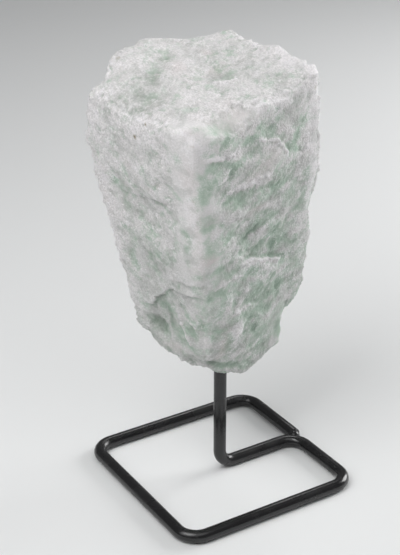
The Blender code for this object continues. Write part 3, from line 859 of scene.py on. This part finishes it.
    def fine_copy(self, solid: bpy.types.Object) -> bpy.types.Object:
        """Copy the solid, merged, remeshed finely and with its facets' creases softened.

        Args:
            solid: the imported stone.

        Returns:
            The copy, in the scene.
        """
        bm = bmesh.new()
        bm.from_mesh(solid.data)
        bmesh.ops.remove_doubles(bm, verts=bm.verts, dist=0.001 * MM)
        piece = add_piece(self.name, bm)
        rough = piece.data
        remesh = piece.modifiers.new("fine facets", "REMESH")
        remesh.mode = "VOXEL"
        remesh.voxel_size = self.mesh_size * MM
        remesh.use_smooth_shade = True
        smooth = piece.modifiers.new("worn creases", "SMOOTH")
        smooth.factor = 0.5
        smooth.iterations = 9
        graph = bpy.context.evaluated_depsgraph_get()
        fine = bpy.data.meshes.new_from_object(piece.evaluated_get(graph))
        piece.modifiers.clear()
        piece.data = fine
        bpy.data.meshes.remove(rough)
        fine.name = self.name
        return piece

    def clear_of_stem(self, world: np.ndarray) -> np.ndarray:
        """Keep the drilled hole's wall at least its radius away from the stem's axis.

        Args:
            world: the points, in mm.

        Returns:
            The points, with those that came too near moved out.
        """
        offset = world[:, :2] - np.array(STEM_AXIS)
        reach = np.linalg.norm(offset, axis=1)
        tight = (reach < self.hole_radius) & (world[:, 2] < self.hole_top - self.hole_roof)
        scale = self.hole_radius / np.maximum(reach[tight], 0.05)
        world[tight, :2] = np.array(STEM_AXIS) + offset[tight] * scale[:, None]
        return world

    def patchwork(self, skin: Skin, trait: str) -> np.ndarray:
        """Add up what the patches give of one trait.

        Args:
            skin: the stone's surface.
            trait: the name of a value of the patches.

        Returns:
            One value a point.
        """
        total = np.zeros(len(skin.places))
        for marks in self.marks:
            for patch in marks.patches:
                amount = getattr(patch, trait)
                if amount:
                    total += amount * skin.inside(marks.side, patch)
        return total

    def steps(self, skin: Skin) -> Iterator[tuple[Ledge, np.ndarray, np.ndarray]]:
        """Go through the ledges.

        Args:
            skin: the stone's surface.

        Yields:
            Each ledge, with how far each point is from its line and how much of it there is.
        """
        for marks in self.marks:
            for ledge in marks.ledges:
                yield ledge, *skin.beside(marks.side, ledge)

    def calm(self, skin: Skin) -> np.ndarray:
        """How smooth the surface is, from 0 to near 1: in some patches, and on the worn front edge."""
        worn = soft_step(skin.places[:, 2], *self.worn_heights) * skin.front_edge
        return np.clip(self.patchwork(skin, "calm") + 0.6 * worn, 0.0, 0.9)

    def relief(self, skin: Skin, calm: np.ndarray) -> np.ndarray:
        """Height of the surface's natural relief.

        Args:
            skin: the stone's surface.
            calm: how smooth each point is.

        Returns:
            The height of each point along its normal, in mm.
        """
        places = skin.places
        # hills 8 mm wide and lumps 3.6 mm wide
        total = self.swell + self.hills * sample(places / 8.0 + 5.5)
        total += self.lumps * sample(places / 3.6 + 61.0)
        # shards 4.6 mm wide, and chips 1.7 mm wide that are broken out of them
        shards = self.shards * skin.streaks(4.6, 1.4, 11.0, 3) + self.terraces(skin)
        shards -= self.chips * soft_step(skin.streaks(1.7, 2.2, 37.0, 2), 0.15, 0.50)
        # sugary crumbs 1.2 mm and 0.9 mm wide, thicker in some places 5 mm wide than in others
        grain = self.crumbs * sample(places / 1.2 + 23.0, 2) + self.sugar * skin.sugar(0.9, 2.0)
        grain *= 0.9 + 0.9 * sample(places / 5.0 + 19.0, 2)
        rough = skin.mean("shards") * shards + skin.mean("grain") * grain
        # rims crumbled into lumps 1.8 mm and 4 mm wide
        rough += skin.corner * (1.5 * sample(places / 1.8 + 77.0, 2) + 0.8 * sample(places / 4.0 + 37.0))
        total += rough * (1.0 - calm) + self.patchwork(skin, "height")
        # each ledge steps down over its line, with a broken, beaded lip along its edge
        bead = np.clip(0.6 + 2.6 * sample(places / 0.95 + 8.0), 0.0, 1.6)
        for ledge, distance, body in self.steps(skin):
            rise = 0.5 * ledge.drop * np.tanh(distance / ledge.soft) * np.exp(-np.abs(distance) / ledge.fade)
            crest = distance * math.copysign(1.0, ledge.drop) - 0.35
            total += body * (rise + ledge.lip * bead * np.exp(-((crest / 0.5) ** 2)))
        return total

    def terraces(self, skin: Skin) -> np.ndarray:
        """Overlapping shards of cleavage: the surface rises slowly along them and drops at their edges.

        Args:
            skin: the stone's surface.

        Returns:
            The height of each point, in mm.
        """
        level = 2.2 * skin.streaks(3.0, 1.5, 71.0) + 1.1 * skin.streaks(1.3, 1.2, 83.0)
        share = level - np.floor(level)
        drop = soft_step(share, 0.75, 1.0)
        return self.terrace * (share / 0.9 * (1.0 - drop) - 0.45)

    def colour(self, skin: Skin, relief: np.ndarray, calm: np.ndarray, mesh: bpy.types.Mesh) -> None:
        """Store where the stone is green, frosted white (partly painted highlight), warm, stained and in
        painted shade, one value a point.

        Args:
            skin: the stone's surface.
            relief: the height that each point was given, in mm.
            calm: how smooth each point is.
            mesh: the mesh that gets the attributes.
        """
        places = skin.places
        fine_crest = relief - skin.spread(relief, 5)
        wide_crest = relief - skin.spread(relief, 60)
        # towards the foot the stone gets painted shade, a dimmer painted rim highlight and a little more
        # green
        low = soft_step(-places[:, 2], -80.0, -35.0)
        # rims are frosted and also get a painted highlight, which fades towards the foot
        rim = skin.spread(skin.corner, 12) * (1.0 - calm) * (1.0 - 0.8 * low)

        # the green body shows in hollows and in streaks, a little more towards the foot
        mottle = 0.6 * sample(places / 5.0 + 31.0, 3) + 0.5 * skin.streaks(2.2, 2.6, 57.0, 2)
        mottle -= 0.6 * wide_crest + 0.6 * fine_crest
        green = skin.mean("green")
        green += skin.front_edge * (skin.spread(green, 120) - green) + skin.mean("uneven") * mottle
        green += 0.12 * low - 0.6 * rim + 0.5 * self.patchwork(skin, "green")

        # crests, rims and clusters of crumbs are frosted white; on crests and rims this white is partly a
        # painted highlight
        cluster = 0.4 + 0.9 * sample(places / 4.0 + 15.0, 2)
        crumbs = soft_step(skin.streaks(1.1, 1.6, 63.0, 2), 0.0, 0.4)
        white = 1.3 * fine_crest + 0.45 * wide_crest + 0.5 * cluster * crumbs * (1.0 - calm) + 0.7 * rim
        white += 0.4 * skin.streaks(2.2, 2.2, 33.0, 2) + self.patchwork(skin, "frost")

        # painted shade darkens the hollows, the lower stone and broad mottles for gentle relief; the warm and
        # stained places mostly come from the listed patches
        warm = 0.22 * sample(places / 6.0 + 47.0) + self.patchwork(skin, "warm")
        painted_shade = 0.16 * low + np.clip(-0.6 * fine_crest - 0.35 * wide_crest, 0.0, 0.5)
        # broad mottles of painted shade stand in for the shading of gentle relief
        painted_shade += 0.27 * skin.mean("uneven") * soft_step(skin.streaks(3.0, 2.2, 91.0, 2), 0.0, 0.5)
        # the patches add painted shade, or painted light where it is below 0
        painted_shade += self.patchwork(skin, "painted_shade_or_light")
        stain = self.patchwork(skin, "stain")

        # a ledge's lip is white, frost with a painted highlight, and its foot may be green
        for ledge, distance, body in self.steps(skin):
            crest = distance * math.copysign(1.0, ledge.drop) - 0.3
            lip = ledge.lip * body * np.exp(-((crest / 0.6) ** 2))
            foot = ledge.green * body * np.exp(-(((crest + 1.2) / 0.9) ** 2))
            white += 1.1 * lip
            green += foot - 0.9 * lip
        calm = np.clip(calm + 0.45 * soft_step(green, 0.3, 1.1), 0.0, 0.9)
        layers = {"green": green, "white": white, "warm": warm, "calm": calm, "stain": stain, "painted_shade": painted_shade}
        for name, values in layers.items():
            layer = mesh.attributes.new(name, "FLOAT", "POINT")
            layer.data.foreach_set("value", values.astype(np.float32))

    def dress(self, piece: bpy.types.Object, finish: "AmazoniteFinish") -> None:
        """Give the piece its finish and tie it to the frame.

        Args:
            piece: the stone's skin.
            finish: what it is given.
        """
        piece.data.materials.clear()
        piece.data.materials.append(finish.material())
        piece.data.shade_smooth()
        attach(piece, self.body)
        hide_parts("stone")


@dataclass(frozen=True)
class AmazoniteFinish:
    """Rough amazonite: green microcline feldspar with fine white albite veins, broken along cleavage.

    Unpolished feldspar scatters light just under its skin, so it looks frosted: broken crests are white, and
    the hollows between them show the pale green body. Some places carry a faint warm stain. Part of the
    crests' white is painted highlight, and the hollows, the lower stone and some patches get painted shade.
    """

    white: str = "#F2EFF1"
    clear: str = "#E3E1E1"
    pale: str = "#D7DAD6"
    green: str = "#B9CABC"
    deep: str = "#9FB5A4"
    warm: str = "#D2C7C6"
    # the olive grey of painted shade
    painted_shade: str = "#818C81"
    rust: str = "#7A6A2E"
    scatter: float = 0.2
    dust: float = 0.25
    scatter_depth: float = 1.2 * MM
    bump: float = 0.15 * MM

    def material(self) -> bpy.types.Material:
        """Build the node material.

        Returns:
            The material.
        """
        material, tree, shader = new_material("rough amazonite feldspar")
        place = add_node(tree, "TexCoord").outputs["Object"]
        layer = {
            name: add_node(tree, "Attribute", attribute_name=name).outputs["Fac"]
            for name in ("green", "white", "warm", "calm", "stain", "painted_shade")
        }

        # 0.9 mm veins break up the green's edges, and 0.4 mm grain, the finest that shows, the frost's
        veins = add_node(tree, "TexNoise", {"Vector": place, "Scale": 1100, "Detail": 3, "Roughness": 0.7})
        grain = add_node(tree, "TexNoise", {"Vector": place, "Scale": 2400, "Detail": 2, "Roughness": 0.7})
        facets = add_node(tree, "TexVoronoi", {"Vector": place, "Scale": 2400})
        for name, pattern, shift in (("green", veins, 0.22), ("white", grain, 0.4)):
            source = pattern.outputs["Fac"]
            moved = add_node(tree, "MapRange", {0: source, 1: 0.3, 2: 0.7, 3: -shift, 4: shift}).outputs[0]
            layer[name] = add_node(tree, "Math", {0: layer[name], 1: moved}, operation="ADD").outputs[0]

        # clear white feldspar turns pale and then green with depth; warm stain, white frost that is partly
        # painted highlight, painted shade and rust stain lie over it
        coats = (
            ("green", 0.0, 0.45, 1.0, self.pale),
            ("green", 0.35, 0.95, 1.0, self.green),
            ("green", 0.85, 1.6, 1.0, self.deep),
            ("warm", 0.05, 0.8, 0.75, self.warm),
            ("white", 0.05, 0.75, 0.85, self.white),
            ("painted_shade", 0.0, 1.0, 0.8, self.painted_shade),
            ("stain", 0.1, 0.9, 0.95, self.rust),
        )
        body = linear(self.clear)
        for name, start, end, most, colour in coats:
            share = add_node(tree, "MapRange", {0: layer[name], 1: start, 2: end, 3: 0.0, 4: most}).outputs[0]
            body = add_node(tree, "Mix", {0: share, 6: body, 7: linear(colour)}, data_type="RGBA").outputs[2]

        # painted shade darkens the tiny gaps between the grains, and painted glints brighten their facets;
        # worn places have few
        fine = grain.outputs["Fac"]
        painted_gap_shade = add_node(tree, "MapRange", {0: fine, 1: 0.3, 2: 0.7, 3: 0.82, 4: 1.05}).outputs[0]
        painted_glint = add_node(tree, "MapRange", {0: facets.outputs["Color"], 3: 0.87, 4: 1.08}).outputs[0]
        painted_grain_light = add_node(tree, "Math", {0: painted_gap_shade, 1: painted_glint}, operation="MULTIPLY").outputs[0]
        lively = add_node(tree, "MapRange", {0: layer["calm"], 1: 0.0, 2: 0.9, 3: 1.0, 4: 0.25}).outputs[0]
        body = add_node(
            tree, "Mix", {0: lively, 6: body, 7: painted_grain_light}, data_type="RGBA", blend_type="MULTIPLY"
        ).outputs[2]

        # each grain's broken face has its own gloss
        roughness = add_node(tree, "MapRange", {0: facets.outputs["Color"], 3: 0.46, 4: 0.70}).outputs[0]
        depth = facets.outputs["Distance"]
        heights = add_node(tree, "Math", {0: fine, 1: depth}, operation="SUBTRACT").outputs[0]
        strength = add_node(tree, "Math", {0: lively, 1: 0.8}, operation="MULTIPLY").outputs[0]
        bump = add_node(tree, "Bump", {"Height": heights, "Strength": strength, "Distance": self.bump})
        tree.links.new(body, shader.inputs["Base Color"])
        tree.links.new(roughness, shader.inputs["Roughness"])
        tree.links.new(bump.outputs["Normal"], shader.inputs["Normal"])
        shader.inputs["IOR"].default_value = 1.53
        shader.inputs["Sheen Weight"].default_value = self.dust
        shader.inputs["Sheen Roughness"].default_value = 0.4
        shader.inputs["Subsurface Weight"].default_value = self.scatter
        shader.inputs["Subsurface Radius"].default_value = (1.0, 1.0, 0.9)
        shader.inputs["Subsurface Scale"].default_value = self.scatter_depth
        return material


@dataclass
class WireStand:
    """The stand: one length of enamelled wire, bent to a stem, an arm and a square base.

    Sizes are in mm. The free end of the base is welded to the arm's bend.
    """

    radius: float = 1.6
    sides: int = 24
    half_side: float = 23.8
    base_bend: float = 5.0
    foot_bend: float = 4.0
    bend_steps: int = 12
    stem_top: float = 40.3
    free_end_offset: float = 0.6
    free_end_gap: float = 1.0
    weld_radius: float = 1.65
    weld_unevenness: float = 0.10
    weld_shift: tuple[float, float, float] = (-0.1, -0.5, 0.15)
    cut_rounding: float = 0.3
    name: str = "wire_stand_enamelled"
    body: str = field(default="root", repr=False)

    def corners(self) -> list[tuple[Vector, float]]:
        """The wire's route, from the stem's top to the free end.

        Returns:
            Its corners with the radii of their bends.
        """
        side = self.half_side
        outer = side + self.free_end_offset
        z = self.radius
        axis = Vector((*STEM_AXIS, 0.0))
        route = [
            ((0.0, 0.0, self.stem_top), 0.0),
            ((0.0, 0.0, z), self.foot_bend),
            ((side, 0.0, z), self.base_bend),
            ((side, -side, z), self.base_bend),
            ((-side, -side, z), self.base_bend),
            ((-side, side, z), self.base_bend),
            ((outer, side, z), self.base_bend),
            ((outer, self.free_end_gap, z), 0.0),
        ]
        return [((axis + Vector(place)) * MM, radius * MM) for place, radius in route]

    def build(self) -> bpy.types.Object:
        """Sweep the wire's round section along its route and add the weld.

        Returns:
            The finished piece.
        """
        bm = bmesh.new()
        corners = self.corners()
        here = corners[0][0]
        circle = bmesh.ops.create_circle(
            bm,
            cap_ends=False,
            segments=self.sides,
            radius=self.radius * MM,
            matrix=Matrix.Translation(here) @ Matrix.Rotation(math.pi / self.sides, 4, "Z"),
        )
        rim = list({edge for vert in circle["verts"] for edge in vert.link_edges})
        for (before, _), (corner, radius), (after, _) in zip(corners, corners[1:], corners[2:]):
            to_start = (before - corner).normalized()
            to_end = (after - corner).normalized()
            half_angle = to_start.angle(to_end) / 2
            centre = corner + (to_start + to_end).normalized() * (radius / math.sin(half_angle))
            start = corner + to_start * (radius / math.tan(half_angle))
            rim = self.run(bm, rim, start - here)
            spun = bmesh.ops.spin(
                bm,
                geom=rim + list({vert for edge in rim for vert in edge.verts}),
                cent=centre,
                axis=to_start.cross(to_end).normalized() * -1.0,
                angle=math.pi - 2 * half_angle,
                steps=self.bend_steps,
            )
            rim = [item for item in spun["geom_last"] if isinstance(item, bmesh.types.BMEdge)]
            here = corner + to_end * (radius / math.tan(half_angle))
        rim = self.run(bm, rim, corners[-1][0] - here)
        open_edges = [edge for edge in bm.edges if edge.is_boundary]
        bmesh.ops.holes_fill(bm, edges=open_edges, sides=0)
        bmesh.ops.recalc_face_normals(bm, faces=bm.faces)
        rounding = self.cut_rounding * MM
        bmesh.ops.bevel(
            bm, geom=open_edges, affect="EDGES", offset=rounding, segments=3, profile=0.5, material=-1
        )
        self.add_weld(bm)
        return add_piece(self.name, bm)

    @staticmethod
    def run(bm: bmesh.types.BMesh, rim: list[bmesh.types.BMEdge], way: Vector) -> list[bmesh.types.BMEdge]:
        """Draw the tube's rim straight on.

        Args:
            bm: the wire's mesh.
            rim: the edges of its open end.
            way: how far and which way it goes.

        Returns:
            The edges of the new open end.
        """
        drawn = bmesh.ops.extrude_edge_only(bm, edges=rim)["geom"]
        points = [item for item in drawn if isinstance(item, bmesh.types.BMVert)]
        bmesh.ops.translate(bm, verts=points, vec=way)
        fresh = set(points)
        return [
            item
            for item in drawn
            if isinstance(item, bmesh.types.BMEdge) and all(vert in fresh for vert in item.verts)
        ]

    def add_weld(self, bm: bmesh.types.BMesh) -> None:
        """Add the small uneven bead that joins the free end to the arm's bend.

        Args:
            bm: the wire's mesh.
        """
        bead = bmesh.ops.create_icosphere(bm, subdivisions=3, radius=self.weld_radius * MM)["verts"]
        for vert in bead:
            vert.co *= 1.0 + self.weld_unevenness * noise.noise(vert.co / (1.4 * MM))
        bend = Vector((*STEM_AXIS, 0.0)) + Vector((self.half_side, self.free_end_gap, self.radius))
        bmesh.ops.scale(bm, verts=bead, vec=(1.0, 0.95, 0.9))
        bmesh.ops.translate(bm, verts=bead, vec=(bend + Vector(self.weld_shift)) * MM)

    def dress(self, piece: bpy.types.Object, finish: "EnamelFinish") -> None:
        """Give the piece its finish and tie it to the frame.

        Args:
            piece: the wire.
            finish: what it is given.
        """
        piece.data.materials.append(finish.material())
        piece.data.shade_smooth()
        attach(piece, self.body)
        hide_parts("wire_stand")


@dataclass(frozen=True)
class EnamelFinish:
    """Black enamel over steel wire: a thin glossy coat with a faint orange peel and a few dull places."""

    colour: str = "#0D0C0E"
    polished: float = 0.17
    handled: float = 0.35

    def material(self) -> bpy.types.Material:
        """Build the node material.

        Returns:
            The material.
        """
        material, tree, shader = new_material("black stoving enamel")
        place = add_node(tree, "TexCoord").outputs["Object"]
        # handling leaves the gloss uneven over patches of about 6 mm
        wear = add_node(tree, "TexNoise", {"Vector": place, "Scale": 170.0, "Detail": 3.0})
        roughness = add_node(
            tree, "MapRange", {0: wear.outputs["Fac"], 1: 0.35, 2: 0.7, 3: self.polished, 4: self.handled}
        ).outputs[0]
        # orange peel of sprayed enamel is about 1 mm from crest to crest
        peel = add_node(tree, "TexNoise", {"Vector": place, "Scale": 1000.0, "Detail": 1.0})
        height = peel.outputs["Fac"]
        bump = add_node(tree, "Bump", {"Height": height, "Strength": 0.25, "Distance": 0.05 * MM})
        tree.links.new(roughness, shader.inputs["Roughness"])
        tree.links.new(bump.outputs["Normal"], shader.inputs["Normal"])
        shader.inputs["Base Color"].default_value = linear(self.colour)
        shader.inputs["IOR"].default_value = 1.62
        return material


@dataclass
class Studio:
    """A plain pale floor, plain soft light and the camera. Sizes are in metres, and powers in watts."""

    lights: tuple[tuple[str, tuple[float, float, float], float, float], ...] = (
        ("key softbox", (-0.18, -0.19, 0.30), 0.22, 0.10),
        ("left softbox", (-0.34, -0.04, 0.30), 0.25, 0.28),
        ("high left softbox", (-0.20, -0.05, 0.38), 0.22, 0.64),
        ("high front softbox", (0.02, -0.20, 0.38), 0.22, 0.15),
        ("wide overhead", (0.0, 0.1, 1.10), 1.2, 0.4),
        ("back softbox", (0.24, 0.24, 0.42), 0.11, 0.19),
        ("right rim", (0.52, -0.02, 0.22), 0.3, 2.0),
    )
    air: float = 0.23
    floor_size: float = 6.0
    aim: tuple[float, float, float] = (0.00633, 0.01691, 0.04414)
    distance: float = 0.350
    azimuth: float = -31.981
    elevation: float = 25.882
    lens: float = 88.43

    def build(self) -> None:
        """Set up the floor, the lights, the surroundings and the camera."""
        self.add_floor()
        for name, place, size, power in self.lights:
            self.add_light(name, place, size, power)
        world = bpy.data.worlds.new("studio air")
        world.use_nodes = True
        background = world.node_tree.nodes["Background"]
        background.inputs["Color"].default_value = linear("#F2F3F4")
        background.inputs["Strength"].default_value = self.air
        bpy.context.scene.world = world
        bpy.context.scene.view_settings.view_transform = "Standard"
        bpy.context.scene.view_settings.look = "None"
        self.add_camera()

    def add_floor(self) -> None:
        """Lay the plain pale floor."""
        bm = bmesh.new()
        bmesh.ops.create_grid(bm, x_segments=1, y_segments=1, size=self.floor_size / 2)
        floor = add_piece("studio_floor", bm)
        material, _, shader = new_material("matt paper floor")
        shader.inputs["Base Color"].default_value = linear("#E9EAEA")
        shader.inputs["Roughness"].default_value = 0.9
        floor.data.materials.append(material)

    def add_light(self, name: str, place: tuple[float, float, float], size: float, power: float) -> None:
        """Hang a square soft light that points at the aim.

        Args:
            name: the light's name.
            place: where it hangs.
            size: its width.
            power: its power in watts.
        """
        data = bpy.data.lights.new(name, "AREA")
        data.size = size
        data.energy = power
        light = add_object(name, data)
        light.location = place
        direction = Vector(self.aim) - light.location
        light.rotation_euler = direction.to_track_quat("-Z", "Y").to_euler()

    def add_camera(self) -> None:
        """Set up the camera at the object's usual three-quarter view from above."""
        azimuth, elevation = math.radians(self.azimuth), math.radians(self.elevation)
        away = Vector(
            (
                math.sin(azimuth) * math.cos(elevation),
                -math.cos(azimuth) * math.cos(elevation),
                math.sin(elevation),
            )
        )
        data = bpy.data.cameras.new("camera")
        data.lens = self.lens
        data.sensor_width = 36.0
        data.clip_start = 0.01
        camera = add_object("camera", data)
        camera.location = Vector(self.aim) + away * self.distance
        camera.rotation_euler = (-away).to_track_quat("-Z", "Y").to_euler()
        bpy.context.scene.camera = camera


def main() -> None:
    """Build and dress every piece."""
    logging.basicConfig(level=logging.INFO, format="%(name)s: %(message)s")
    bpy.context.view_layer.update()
    stone = Stone()
    skin = stone.build(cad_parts["stone"])
    stone.dress(skin, AmazoniteFinish())
    log.info("%s has %d points", skin.name, len(skin.data.vertices))
    stand = WireStand()
    wire = stand.build()
    stand.dress(wire, EnamelFinish())
    log.info("%s has %d points", wire.name, len(wire.data.vertices))
    Studio().build()


if __name__ == "__main__":
    main()
